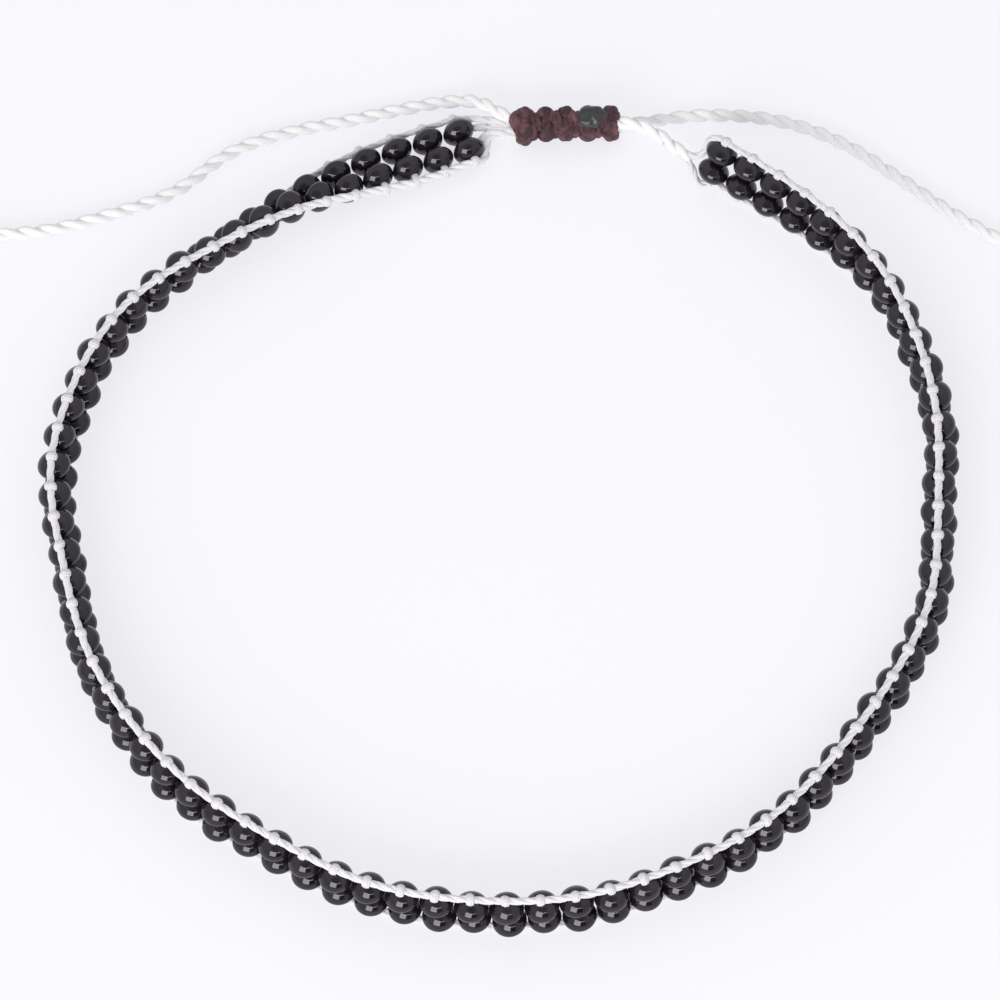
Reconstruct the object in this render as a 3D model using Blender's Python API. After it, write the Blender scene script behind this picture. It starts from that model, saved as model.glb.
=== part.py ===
"""Woven beaded bracelet: a ladder of black seed beads, two beads wide, closed by a sliding knot on white cords.

The bracelet lies as it was put down, with most of its band standing on the lower edge.
Metres, +Z up. The origin is on the table, at the middle of the band and the knot seen from above.
"""
import math

import bmesh
import bpy
import numpy as np

MM = 0.001

# Seed beads of the band: each rung of the ladder is a row of beads on one thread, across the band
BEAD_DIAMETER = 2.12 * MM
BEAD_LENGTH = 1.55 * MM
BEAD_END_SHARE = 0.72       # a bead's diameter at its two ends, as a share of its middle
BEADS_PER_RUNG = 2
BEAD_SPACING = 0.03 * MM    # between neighbouring rungs
COLUMN_SPACING = 0.06 * MM  # between the beads of one rung
BEAD_SIDES = 8

# White threads along both edges of the band, which gather into a yoke at each end
EDGE_THREAD_WIDTH = 0.55 * MM
EDGE_THREAD_HEIGHT = 0.50 * MM
YOKE_LENGTH = 0.50 * MM
YOKE_WIDTH = 1.30 * MM

# White laid cords
CORD_DIAMETER = 0.90 * MM
CORD_POINT_SPACING = 1.85 * MM
CORD_TABLE_GAP = 0.02 * MM

# Sliding knot: a lumpy sleeve that both cords run through, one over the other
KNOT_LENGTH = 7.20 * MM
KNOT_WIDTH = 2.40 * MM
KNOT_HEIGHT = 2.90 * MM
KNOT_PRESS = 0.11 * MM      # how far the underside is pressed flat by the table
KNOT_MIDDLE = (4.26 * MM, 29.03 * MM)
KNOT_TURN = 1.2             # degrees
KNOT_SIDES = 16
CORDS_APART = 0.10 * MM     # between the two cords inside the knot
CORD_SWAY = 0.25 * MM       # how far each cord drifts sideways inside the knot
KNOT_CLEARANCE = 0.08 * MM  # between a cord and the wall of the knot's passage
MOUTH_FLARE = 0.18 * MM     # how much wider the passage is at its two mouths
MOUTH_DEPTH = 1.00 * MM

# Stopper knots on the two tails
STOPPER_LENGTH = 2.30 * MM
STOPPER_WIDTH = 2.00 * MM
STOPPER_HEIGHT = 1.80 * MM
STOPPER_GAP = 0.30 * MM

# The band's centreline seen from above, from its left end round the front to its right end.
# Columns: x and y in millimetres, and the lean of the upper edge in degrees, outwards positive.
BAND_ROUTE = [
    (-2.4, 27.87, -88),
    (-8.32, 25.62, -82),
    (-13.92, 22.56, -50),
    (-19.18, 18.38, -21),
    (-24.25, 13.56, -3),
    (-27.09, 7.56, 7),
    (-28.19, 1.2, 12),
    (-27.32, -4.96, 11),
    (-25.91, -11.07, 5),
    (-22.92, -16.92, -1),
    (-18.98, -21.49, -4),
    (-13.7, -25.1, 0),
    (-8.1, -28.0, 0),
    (-1.8, -29.2, 0),
    (4.5, -29.0, 0),
    (10.7, -27.0, 0),
    (16.3, -23.8, 0),
    (21.05, -18.76, 0),
    (24.62, -13.55, -2),
    (27.18, -7.97, -5),
    (27.89, -1.39, -5),
    (28.19, 5.09, -10),
    (26.83, 11.31, -3),
    (24.25, 16.93, 3),
    (19.68, 21.69, 16),
    (14.35, 25.67, 24),
]

# The cords' routes. Columns: x and y in millimetres, and the rise: 0 on the table, 1 at the height
# that the cord has inside the knot.
LEFT_END_CORD_ROUTE = [
    (-0.6, 28.6, 1.2),
    (0.65, 28.78, 1.0),
    (2.5, 28.9, 1.0),
    (4.26, 29.03, 1.0),
    (6.0, 29.16, 1.0),
    (7.87, 29.28, 1.0),
    (9.0, 29.55, 0.6),
    (10.4, 29.9, 0.0),
    (12.4, 30.25, 0.0),
    (14.6, 30.35, 0.0),
    (16.9, 30.2, 0.0),
    (19.2, 29.7, 0.0),
    (21.4, 28.8, 0.0),
    (23.4, 27.65, 0.0),
    (25.3, 26.2, 0.0),
    (27.1, 24.75, 0.0),
    (28.9, 23.25, 0.0),
    (30.9, 21.8, 0.0),
    (33.1, 20.4, 0.0),
    (35.6, 19.1, 0.0),
]
RIGHT_END_CORD_ROUTE = [
    (12.6, 26.23, 0.76),
    (11.55, 27.07, 0.8),
    (10.55, 27.9, 0.9),
    (9.35, 28.58, 1.0),
    (7.87, 28.88, 1.0),
    (6.0, 28.95, 1.0),
    (4.26, 29.03, 1.0),
    (2.5, 29.13, 1.0),
    (0.65, 29.25, 1.0),
    (-0.3, 29.9, 0.95),
    (-1.7, 31.0, 0.5),
    (-3.6, 31.4, 0.0),
    (-5.7, 31.0, 0.0),
    (-7.8, 30.5, 0.0),
    (-9.9, 29.95, 0.0),
    (-12.2, 29.45, 0.0),
    (-14.6, 28.8, 0.0),
    (-16.8, 27.95, 0.0),
    (-18.9, 26.55, 0.0),
    (-20.6, 24.95, 0.0),
    (-22.5, 23.75, 0.0),
    (-24.6, 22.9, 0.0),
    (-26.9, 22.1, 0.0),
    (-29.5, 21.35, 0.0),
    (-32.6, 21.0, 0.0),
    (-35.8, 20.9, 0.0),
]

# The knot's outline. Columns: share of its length from the left, then how far it swells to the
# back, the front and the top, as shares of half its width and half its height.
KNOT_SWELLS = [
    (0.00, 0.97, 1.03, 0.92),
    (0.05, 1.02, 1.12, 0.98),
    (0.13, 1.06, 1.18, 1.02),
    (0.20, 1.00, 1.12, 0.98),
    (0.25, 0.86, 0.98, 0.90),
    (0.32, 1.00, 0.94, 1.00),
    (0.39, 0.94, 0.99, 0.95),
    (0.48, 1.03, 0.95, 1.03),
    (0.56, 0.99, 0.92, 0.97),
    (0.62, 0.93, 0.92, 0.93),
    (0.70, 0.99, 0.97, 1.00),
    (0.80, 1.00, 0.98, 1.01),
    (0.87, 0.94, 0.93, 0.94),
    (0.93, 1.05, 1.00, 1.01),
    (1.00, 0.97, 0.95, 0.92),
]

# Sizes that follow from the ones above
BEAD_RADIUS = BEAD_DIAMETER / 2
BAND_HALF_WIDTH = (BEADS_PER_RUNG * BEAD_LENGTH + (BEADS_PER_RUNG - 1) * COLUMN_SPACING) / 2 + EDGE_THREAD_HEIGHT
CORD_RADIUS = CORD_DIAMETER / 2
CORD_TABLE_HEIGHT = CORD_RADIUS + CORD_TABLE_GAP
KNOT_MIDDLE_HEIGHT = KNOT_HEIGHT / 2 - KNOT_PRESS
LOWER_CORD_HEIGHT = KNOT_MIDDLE_HEIGHT - (CORD_DIAMETER + CORDS_APART) / 2
UPPER_CORD_HEIGHT = KNOT_MIDDLE_HEIGHT + (CORD_DIAMETER + CORDS_APART) / 2
PASSAGE_HALF_WIDTH = CORD_RADIUS + CORD_SWAY + KNOT_CLEARANCE
PASSAGE_HALF_HEIGHT = CORD_DIAMETER + CORDS_APART / 2 + KNOT_CLEARANCE

# Colours: red, green, blue, roughness
BLACK_GLASS = (0.012, 0.012, 0.014, 0.08)
WHITE_COTTON = (0.86, 0.85, 0.86, 0.80)
MAROON_YARN = (0.095, 0.045, 0.055, 0.60)


def smooth_rows(rows, measured, steps=24):
    """Rows read closely along the natural cubic spline through the given rows.

    The first `measured` columns are places, which set the distance between rows.
    """
    rows = np.array(rows, float)
    spans = np.linalg.norm(np.diff(rows[:, :measured], axis=0), axis=1)
    last = len(rows) - 1
    matrix = np.eye(len(rows))
    wanted = np.zeros_like(rows)
    for i in range(1, last):
        before, after = spans[i - 1], spans[i]
        matrix[i, i - 1:i + 2] = before, 2 * (before + after), after
        wanted[i] = 6 * ((rows[i + 1] - rows[i]) / after - (rows[i] - rows[i - 1]) / before)
    bends = np.linalg.solve(matrix, wanted)
    share = (np.arange(steps) / steps)[:, None]
    rest = 1 - share
    pieces = [
        rest * rows[i] + share * rows[i + 1]
        + ((rest ** 3 - rest) * bends[i] + (share ** 3 - share) * bends[i + 1]) * spans[i] ** 2 / 6
        for i in range(last)
    ]
    return np.vstack(pieces + [rows[-1:]])


class Route:
    """A smooth route that is read by the length along it, and runs on straight past both ends."""

    def __init__(self, rows, measured):
        rows = smooth_rows(rows, measured)
        spans = np.linalg.norm(np.diff(rows[:, :measured], axis=0), axis=1)
        self.lengths = np.concatenate([[0.0], np.cumsum(spans)])
        self.length = self.lengths[-1]
        self.rows = rows
        self.end_slopes = (rows[1] - rows[0]) / spans[0], (rows[-1] - rows[-2]) / spans[-1]

    def at(self, length):
        """Every column at one length along the route."""
        inside = min(max(length, 0.0), self.length)
        row = np.array([np.interp(inside, self.lengths, column) for column in self.rows.T])
        slope = self.end_slopes[1] if length > self.length else self.end_slopes[0]
        return row + slope * (length - inside)


def millimetre_places(rows):
    """The rows with their first two columns, x and y, in metres."""
    return [(x * MM, y * MM, other) for x, y, other in rows]


def cord_places(rows, knot_height):
    """A cord's route as places in metres."""
    climb = knot_height - CORD_TABLE_HEIGHT
    return [(x * MM, y * MM, CORD_TABLE_HEIGHT + rise * climb) for x, y, rise in rows]


def new_material(name, finish):
    """A plain material in one colour."""
    material = bpy.data.materials.new(name)
    material.use_nodes = True
    red, green, blue, roughness = finish
    shader = material.node_tree.nodes["Principled BSDF"]
    shader.inputs["Base Color"].default_value = (red, green, blue, 1)
    shader.inputs["Roughness"].default_value = roughness
    shader.inputs["Metallic"].default_value = 0
    material.diffuse_color = (red, green, blue, 1)
    return material


def place_object(name, data, parent, material):
    """A new object in the bracelet's collection."""
    piece = bpy.data.objects.new(name, data)
    data.materials.append(material)
    bpy.data.collections["woven_beaded_bracelet"].objects.link(piece)
    piece.parent = parent
    return piece


def add_rings(mesh, rings):
    """Vertices for rings of places, and the faces between each ring and the next."""
    loops = [[mesh.verts.new(place) for place in ring] for ring in rings]
    for near, far in zip(loops, loops[1:]):
        bridge_loops(mesh, near, far)
    return loops


def bridge_loops(mesh, near, far):
    """A strip of faces between two loops that have as many vertices."""
    for i in range(len(near)):
        j = (i + 1) % len(near)
        mesh.faces.new((near[i], near[j], far[j], far[i]))


def finish_mesh(mesh, name, smooth_angle):
    """The bmesh as mesh data, facing outwards and shaded smooth below an angle in degrees."""
    bmesh.ops.recalc_face_normals(mesh, faces=mesh.faces)
    data = bpy.data.meshes.new(name)
    mesh.to_mesh(data)
    mesh.free()
    data.shade_smooth()
    data.set_sharp_from_angle(angle=math.radians(smooth_angle))
    return data


def half_profile():
    """The band cut across at the middle of a rung: one side's outline, from the upper edge down.

    Each row is a place across the band and the half thickness there.
    """
    rows = [(BAND_HALF_WIDTH, EDGE_THREAD_WIDTH / 2)]
    bead_end = BAND_HALF_WIDTH - EDGE_THREAD_HEIGHT
    for _ in range(BEADS_PER_RUNG):
        rows.append((bead_end, BEAD_RADIUS * BEAD_END_SHARE))
        rows.append((bead_end - BEAD_LENGTH / 2, BEAD_RADIUS))
        bead_end -= BEAD_LENGTH + COLUMN_SPACING
    rows.append((bead_end + COLUMN_SPACING, BEAD_RADIUS * BEAD_END_SHARE))
    rows.append((-BAND_HALF_WIDTH, EDGE_THREAD_WIDTH / 2))
    return rows


def band_ring(route, length, outline):
    """One cut across the band, as places in the world. The band's lowest side touches the table."""
    x, y, lean = route.at(length)
    step = BEAD_RADIUS / 4
    forward = route.at(length + step)[:2] - route.at(length - step)[:2]
    forward /= np.linalg.norm(forward)
    outward = np.array([forward[1], -forward[0], 0])
    up = np.array([0, 0, 1])
    lean = math.radians(lean)
    across = math.sin(lean) * outward + math.cos(lean) * up
    through = math.cos(lean) * outward - math.sin(lean) * up
    height = max(abs(w * across[2]) + abs(t * through[2]) for w, t in half_profile())
    middle = np.array([x, y, height])
    sides = [(w, t) for w, t in outline] + [(w, -t) for w, t in reversed(outline)]
    return [middle + w * across + t * through for w, t in sides]


def build_band(parent, material):
    """The woven band as one solid, scalloped rung by rung, with a yoke at each end."""
    route = Route(millimetre_places(BAND_ROUTE), 2)
    rungs = round(route.length / (BEAD_DIAMETER + BEAD_SPACING)) + 1
    pitch = route.length / (rungs - 1)
    profile = half_profile()
    # A polygon of the circle's own area stands for each round bead
    corner_radius = min(BEAD_RADIUS * math.sqrt(2 * math.pi / BEAD_SIDES / math.sin(2 * math.pi / BEAD_SIDES)),
                        (pitch - BEAD_SPACING) / 2)
    angles = [math.pi * (i + 0.5) / (BEAD_SIDES // 2) for i in range(BEAD_SIDES // 2)]
    yoke = [(w * YOKE_WIDTH / 2 / BAND_HALF_WIDTH, EDGE_THREAD_WIDTH / 2) for w, _ in profile]

    rings = [band_ring(route, -BEAD_RADIUS - YOKE_LENGTH, yoke)]
    for rung in range(rungs):
        for angle in angles:
            thickness = math.sin(angle) * corner_radius / BEAD_RADIUS
            outline = [(w, max(t * thickness, EDGE_THREAD_WIDTH / 2)) for w, t in profile]
            rings.append(band_ring(route, rung * pitch - math.cos(angle) * corner_radius, outline))
    rings.append(band_ring(route, route.length + BEAD_RADIUS + YOKE_LENGTH, yoke))

    mesh = bmesh.new()
    loops = add_rings(mesh, rings)
    mesh.faces.new(loops[0])
    mesh.faces.new(loops[-1])
    return place_object("beaded_band", finish_mesh(mesh, "beaded_band", 25), parent, material)


def build_sliding_knot(parent, material):
    """The sliding knot: a lumpy sleeve with an upright passage for both cords."""
    angles = [2 * math.pi * i / KNOT_SIDES for i in range(KNOT_SIDES)]
    outer = []
    for share, back, front, top in KNOT_SWELLS:
        ring = []
        for angle in angles:
            side = math.cos(angle) * KNOT_WIDTH / 2 * (back if math.cos(angle) > 0 else front)
            rise = math.sin(angle) * KNOT_HEIGHT / 2 * (top if math.sin(angle) > 0 else min(top, 1))
            ring.append(((share - 0.5) * KNOT_LENGTH, side, max(rise, -KNOT_MIDDLE_HEIGHT)))
        outer.append(ring)
    inner = []
    throat = KNOT_LENGTH / 2 - MOUTH_DEPTH
    for along, flare in ((-KNOT_LENGTH / 2, MOUTH_FLARE), (-throat, 0), (throat, 0), (KNOT_LENGTH / 2, MOUTH_FLARE)):
        half_width = PASSAGE_HALF_WIDTH + flare
        half_height = PASSAGE_HALF_HEIGHT + flare
        inner.append([(along, math.cos(a) * half_width, math.sin(a) * half_height) for a in angles])
    mesh = bmesh.new()
    skin = add_rings(mesh, outer)
    passage = add_rings(mesh, inner)
    bridge_loops(mesh, skin[0], passage[0])
    bridge_loops(mesh, skin[-1], passage[-1])
    knot = place_object("sliding_knot", finish_mesh(mesh, "sliding_knot", 60), parent, material)
    knot.location = (*KNOT_MIDDLE, KNOT_MIDDLE_HEIGHT)
    knot.rotation_euler.z = math.radians(KNOT_TURN)
    return knot


def build_cord(name, places, parent, material):
    """A cord as a tube along its route."""
    route = Route(places, 3)
    count = max(2, round(route.length / CORD_POINT_SPACING)) + 1
    curve = bpy.data.curves.new(name, "CURVE")
    curve.dimensions = "3D"
    curve.bevel_depth = CORD_RADIUS
    curve.bevel_resolution = 2
    curve.use_fill_caps = True
    spline = curve.splines.new("POLY")
    spline.points.add(count - 1)
    for point, length in zip(spline.points, np.linspace(0, route.length, count)):
        x, y, z = route.at(length)
        point.co = (x, y, max(z, CORD_TABLE_HEIGHT), 1)
    place_object(name, curve, parent, material)
    return route


def build_stopper(name, route, parent, material):
    """A stopper knot just past the end of a tail, lying on the table."""
    reach = route.length + STOPPER_GAP + STOPPER_LENGTH / 2
    x, y, _ = route.at(reach)
    forward_x, forward_y, _ = route.at(route.length) - route.at(route.length - CORD_DIAMETER)
    mesh = bmesh.new()
    bmesh.ops.create_uvsphere(mesh, u_segments=12, v_segments=8, radius=0.5)
    bmesh.ops.scale(mesh, vec=(STOPPER_LENGTH, STOPPER_WIDTH, STOPPER_HEIGHT), verts=mesh.verts)
    stopper = place_object(name, finish_mesh(mesh, name, 60), parent, material)
    stopper.location = (x, y, STOPPER_HEIGHT / 2)
    stopper.rotation_euler.z = math.atan2(forward_y, forward_x)
    return stopper


def main():
    """Clear the scene and build the bracelet."""
    for old in list(bpy.data.objects):
        bpy.data.objects.remove(old, do_unlink=True)
    collection = bpy.data.collections.new("woven_beaded_bracelet")
    bpy.context.scene.collection.children.link(collection)
    root = bpy.data.objects.new("bracelet_root", None)
    collection.objects.link(root)

    glass = new_material("black_glass", BLACK_GLASS)
    cotton = new_material("white_cotton", WHITE_COTTON)
    yarn = new_material("maroon_yarn", MAROON_YARN)

    build_band(root, glass)
    build_sliding_knot(root, yarn)
    right_tail = build_cord("left_end_cord", cord_places(LEFT_END_CORD_ROUTE, LOWER_CORD_HEIGHT), root, cotton)
    left_tail = build_cord("right_end_cord", cord_places(RIGHT_END_CORD_ROUTE, UPPER_CORD_HEIGHT), root, cotton)
    build_stopper("right_tail_stopper", right_tail, root, cotton)
    build_stopper("left_tail_stopper", left_tail, root, cotton)


main()
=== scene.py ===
"""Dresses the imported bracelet: glass seed beads, white threads and cords, and the yarn of the sliding knot.

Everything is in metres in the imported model's own frame. The band's and the cords' routes are the
CAD source's own.
"""
import math

import bpy
import numpy as np
from bpy.props import FloatProperty, FloatVectorProperty, IntProperty, PointerProperty
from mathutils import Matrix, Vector


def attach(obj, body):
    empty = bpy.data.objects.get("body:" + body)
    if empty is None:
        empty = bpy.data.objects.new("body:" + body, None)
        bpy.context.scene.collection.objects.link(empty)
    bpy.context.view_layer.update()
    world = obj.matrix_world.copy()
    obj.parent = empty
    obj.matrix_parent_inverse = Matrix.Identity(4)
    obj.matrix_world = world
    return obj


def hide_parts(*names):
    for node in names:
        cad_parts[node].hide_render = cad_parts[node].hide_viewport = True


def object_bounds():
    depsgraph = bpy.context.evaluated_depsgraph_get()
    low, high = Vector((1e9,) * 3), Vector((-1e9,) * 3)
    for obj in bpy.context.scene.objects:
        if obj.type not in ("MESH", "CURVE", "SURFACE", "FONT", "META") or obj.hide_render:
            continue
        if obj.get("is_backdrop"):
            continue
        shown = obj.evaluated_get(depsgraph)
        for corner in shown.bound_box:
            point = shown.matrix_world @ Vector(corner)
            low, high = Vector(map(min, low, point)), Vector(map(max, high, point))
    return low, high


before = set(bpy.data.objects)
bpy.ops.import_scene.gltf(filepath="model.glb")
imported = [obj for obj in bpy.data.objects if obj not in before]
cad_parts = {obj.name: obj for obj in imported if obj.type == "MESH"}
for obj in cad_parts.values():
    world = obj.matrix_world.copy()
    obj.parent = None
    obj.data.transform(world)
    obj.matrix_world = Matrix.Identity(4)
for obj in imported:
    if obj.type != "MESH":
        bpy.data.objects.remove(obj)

bl_info = {
    "name": "Woven Beaded Bracelet",
    "version": (1, 0, 0),
    "blender": (4, 5, 0),
    "location": "3D View > Sidebar > Bracelet",
    "description": "Dresses a ladder-woven bead bracelet with its beads, threads, cords and sliding knot",
    "category": "Object",
}

MM = 0.001
SEED = 11
UP = np.array([0.0, 0.0, 1.0])

# The band's middle line from its left end round the front to its right end, seen from above.
# Columns: x and y in millimetres, and the lean of the upper edge in degrees, outwards positive.
BAND_ROUTE = (
    (-2.4, 27.87, -88), (-8.32, 25.62, -82), (-13.92, 22.56, -50), (-19.18, 18.38, -21),
    (-24.25, 13.56, -3), (-27.09, 7.56, 7), (-28.19, 1.2, 12), (-27.32, -4.96, 11), (-25.91, -11.07, 5),
    (-22.92, -16.92, -1), (-18.98, -21.49, -4), (-13.7, -25.1, 0), (-8.1, -28.0, 0), (-1.8, -29.2, 0),
    (4.5, -29.0, 0), (10.7, -27.0, 0), (16.3, -23.8, 0), (21.05, -18.76, 0), (24.62, -13.55, -2),
    (27.18, -7.97, -5), (27.89, -1.39, -5), (28.19, 5.09, -10), (26.83, 11.31, -3), (24.25, 16.93, 3),
    (19.68, 21.69, 16), (14.35, 25.67, 24),
)
RUNG_SPACING = 2.15 * MM
BEAD_OFFSET = 0.805 * MM      # a bead's middle from the band's middle line
BEAD_END = 1.58 * MM          # where the outer ends of the beads are, from the middle line
BEAD_SWAY = 0.085 * MM        # how far a bead may sit off the band, to either side
BEAD_LIP = 0.06               # the rounded lip of a bead's hole, as a share of its radius
BEAD_SIZE_RANGE = (-1.6, 0.4)     # limits of the chance in a bead's size, mostly towards small
BEAD_TILT_RANGE = (-1.5, 1.5)     # limits of the chance in its tilt
DIRECTION_REACH = 0.265 * MM      # how far to both sides of a place the band's direction is read

# Corners of the band's cross section. Columns: millimetres across the band and through it.
PROFILE = ((2.08, 0.275), (1.58, 0.763), (0.805, 1.06), (0.03, 0.763))

# How far the rungs slant along the run. Columns: rung, and millimetres from the upper bead to the lower.
RUNG_SLANTS = ((0, 0.18), (8, 0.20), (16, 0.12), (30, 0.12), (40, 0.19), (52, 0.12), (66, 0.08), (76, 0.12))

# The cords' routes. Columns: x and y in millimetres, and the rise: 0 on the table, 1 in the knot.
LEFT_END_CORD_ROUTE = (
    (-0.6, 28.6, 1.2), (0.65, 28.78, 1), (2.5, 28.9, 1), (4.26, 29.03, 1), (6.0, 29.16, 1),
    (7.87, 29.28, 1), (9.0, 29.55, 0.6), (10.4, 29.9, 0), (12.4, 30.25, 0), (14.6, 30.35, 0),
    (16.9, 30.2, 0), (19.2, 29.7, 0), (21.4, 28.8, 0), (23.4, 27.65, 0), (25.3, 26.2, 0),
    (27.1, 24.75, 0), (28.9, 23.25, 0), (30.9, 21.8, 0), (33.1, 20.4, 0), (35.6, 19.1, 0),
)
RIGHT_END_CORD_ROUTE = (
    (12.6, 26.23, 0.76), (11.55, 27.07, 0.8), (10.55, 27.9, 0.9), (9.35, 28.58, 1), (7.87, 28.88, 1),
    (6.0, 28.95, 1), (4.26, 29.03, 1), (2.5, 29.13, 1), (0.65, 29.25, 1), (-0.3, 29.9, 0.95),
    (-1.7, 31.0, 0.5), (-3.6, 31.4, 0), (-5.7, 31.0, 0), (-7.8, 30.5, 0), (-9.9, 29.95, 0),
    (-12.2, 29.45, 0), (-14.6, 28.8, 0), (-16.8, 27.95, 0), (-18.9, 26.55, 0), (-20.6, 24.95, 0),
    (-22.5, 23.75, 0), (-24.6, 22.9, 0), (-26.9, 22.1, 0), (-29.5, 21.35, 0), (-32.6, 21.0, 0),
    (-35.8, 20.9, 0),
)
CORD_TABLE_HEIGHT = 0.47 * MM
LOWER_CORD_HEIGHT = 0.84 * MM
UPPER_CORD_HEIGHT = 1.84 * MM
CORD_DIAMETER = 0.90 * MM
CORD_STEP = 0.16 * MM         # between the rings of a cord's plies
CORD_TAPER = 0.45             # how much thinner a cord starts, as a share
CORD_TAPER_LENGTH = 0.9 * MM
STOPPER_MIDDLE = 1.45 * MM    # from the end of a tail to the middle of its stopper knot
STOPPER_HEIGHT = 0.88 * MM     # its middle above the table
STOPPER_REACH = (0.74 * MM, 0.62 * MM, 0.40 * MM)    # half its size along the cord, aside and up
STOPPER_ENDS = ((-1.9, -0.2), (0.5, 2.1))    # where the cord shows before and after it, in millimetres

# A twisted thread's plies, as shares of half its width: a ply's radius, and how far out its middle is
PLY_RADIUS = 0.60
PLY_OUT = 0.42
STOPPER_PLY_RADIUS = 0.54     # the plies lie tighter in the stopper knots
STOPPER_PLY_OUT = 0.44
FULL_TURN = 6.28              # how far a strand's twist may start round it, in radians
THREAD_STEP = 0.13 * MM       # between the rings of an edge thread's plies
THREAD_DIP = 0.05 * MM        # how far an edge thread dips between two rungs

# Where the edge threads run on from the end rungs into the cords, in millimetres
LEFT_UPPER_LEAD = (
    (1.3, 28.75, 1.25), (0.2, 28.6, 1.2), (-0.55, 28.38, 1.12), (-0.92, 27.88, 0.95), (-0.97, 27.1, 0.85),
    (-1.25, 26.45, 0.95),
)
LEFT_LOWER_LEAD = ((1.3, 29.05, 1.45), (0.2, 29.15, 1.48), (-0.75, 29.28, 1.48), (-1.7, 29.42, 1.45))
RIGHT_UPPER_LEAD = (
    (14.5, 26.42, 3.62), (14.1, 26.63, 3.41), (13.67, 26.69, 2.93), (13.5, 26.45, 2.3), (13.1, 26.28, 1.85),
    (12.5, 26.45, 1.65), (11.3, 27.35, 1.65), (10.3, 28.1, 1.7),
)
RIGHT_LOWER_LEAD = (
    (13.2, 24.98, 0.45), (12.82, 25.45, 0.75), (12.55, 26.0, 1.15), (11.95, 26.6, 1.42), (10.9, 27.5, 1.6),
)

# Strands of the weft that are gathered in at the left end, between the edge threads, in millimetres
LEFT_GATHERS = (
    ((-1.75, 28.95, 1.06), (-0.9, 28.95, 1.15), (0.2, 28.9, 1.3), (1.3, 28.9, 1.3)),
    ((-1.3, 27.9, 1.06), (-0.8, 28.5, 1.15), (0.2, 28.75, 1.25), (1.3, 28.8, 1.25)),
)

# How far the edge threads stray at the left end: the upper one outwards, the lower one up the beads.
# Columns: rung, and millimetres.
UPPER_STRAYS = ((0, 0.06), (1, 0.28), (2, 0.35), (3, 0.25), (5, 0.0))
LOWER_STRAYS = ((0, 0.30), (1, 0.27), (2, 0.23), (3, 0.19), (4, 0.13), (5, 0.0))

# How much fuller the upper edge thread is at the left end. Columns: rung, and share.
UPPER_FULLNESS = ((0, 0.25), (1, 0.48), (3, 0.48), (7, 0.0))

LOOP_LEAN = 0.06 * MM         # the spread of a weft loop's lean along the band
LOOP_UNEVENNESS = 0.06        # the spread of the loops' sizes, as a share
LOOP_SHRINK = 0.16            # how much smaller a loop's outer strands are

# The knot's outline. Columns: share of its length from the left, then how far it swells to the
# back, the front and the top, as shares of half its width and half its height.
KNOT_SWELLS = (
    (0.00, 0.97, 1.03, 0.92), (0.05, 1.02, 1.12, 0.98), (0.13, 1.06, 1.18, 1.02), (0.20, 1.00, 1.12, 0.98),
    (0.25, 0.86, 0.98, 0.90), (0.32, 1.00, 0.94, 1.00), (0.39, 0.94, 0.99, 0.95), (0.48, 1.03, 0.95, 1.03),
    (0.56, 0.99, 0.92, 0.97), (0.62, 0.93, 0.92, 0.93), (0.70, 0.99, 0.97, 1.00), (0.80, 1.00, 0.98, 1.01),
    (0.87, 0.94, 0.93, 0.94), (0.93, 1.05, 1.00, 1.01), (1.00, 0.97, 0.95, 0.92),
)
KNOT_MIDDLE = Vector((4.26, 29.03, 1.34)) * MM
KNOT_LENGTH = 7.20 * MM
KNOT_WIDTH = 2.40 * MM
KNOT_HEIGHT = 2.90 * MM
KNOT_TURN = math.radians(1.2)
KNOT_UNDERSIDE = 0.93         # how far the knot swells below, as a share of half its height
KNOT_LUMPS = (0.137, 0.326, 0.515, 0.715, 0.925)    # where the fat turns of yarn stand, as shares
KNOT_SEAM = math.radians(108)       # where the fat turns sink in on top
KNOT_SEAM_SPREAD = math.radians(17)
KNOT_SEAM_DEPTH = 0.24 * MM
LUMP_LEAN = 0.016             # how far a fat turn leans along the knot, as a share of its length
LAST_LUMP_NOTCH = -0.075      # how far the last one bends back at the seam, as such a share
KNOT_CORE_DEPTHS = (0.60, 0.72)     # the hidden core's outside and inside under the skin, in millimetres
YARN_STEP = 0.1 * MM          # between the rings of the yarn's plies
YARN_PLY_RADIUS = 0.31        # shares of the yarn's diameter
YARN_PLY_OUT = 0.20
YARN_FLATNESS = 0.92
THIN_YARN = 0.66              # the tighter turns, as a share of the fat ones' diameter

# The melted yarn ends on the knot: the middle and the reach, along the knot as shares and round it
MELTED_SHARE = 0.750
MELTED_SHARE_REACH = 0.148
MELTED_ANGLE = math.radians(98)
MELTED_ANGLE_REACH = math.radians(52)

# The picture's own view
VIEW_TARGET = Vector((0.0, 0.00115, 0.0))
VIEW_DISTANCE = 0.390
VIEW_ELEVATION = math.radians(60)
VIEW_BACK = Vector((0.0, -math.cos(VIEW_ELEVATION), math.sin(VIEW_ELEVATION)))
VIEW_LENS = 219.24

# Where the lights and the dark card stand, seen from the bracelet
WINDOW_TOWARD = (-0.30, -0.84, 0.45)
TRANSOM_TOWARD = (0.20, -0.84, 0.66)
CARD_TOWARD = (0.22, -0.86, 0.44)
LIGHT_DISTANCE = 0.6
CARD_DISTANCE = 0.62
CARD_HIGH = 1.25              # shares of the window's height, width and power
TRANSOM_WIDE = 0.9
TRANSOM_HIGH = 0.12
TRANSOM_POWER = 0.10
DIMMED_FROM = math.radians(42)      # the surround dims from here to here off the line to the camera
DIMMED_TO = math.radians(8)
TABLE_HALF = 3.0
TABLE_GAP = 0.00002

# What the properties have in common
LENGTH = {"subtype": "DISTANCE", "unit": "LENGTH", "precision": 5}
COLOUR = {"subtype": "COLOR", "min": 0.0, "max": 1.0}


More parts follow.
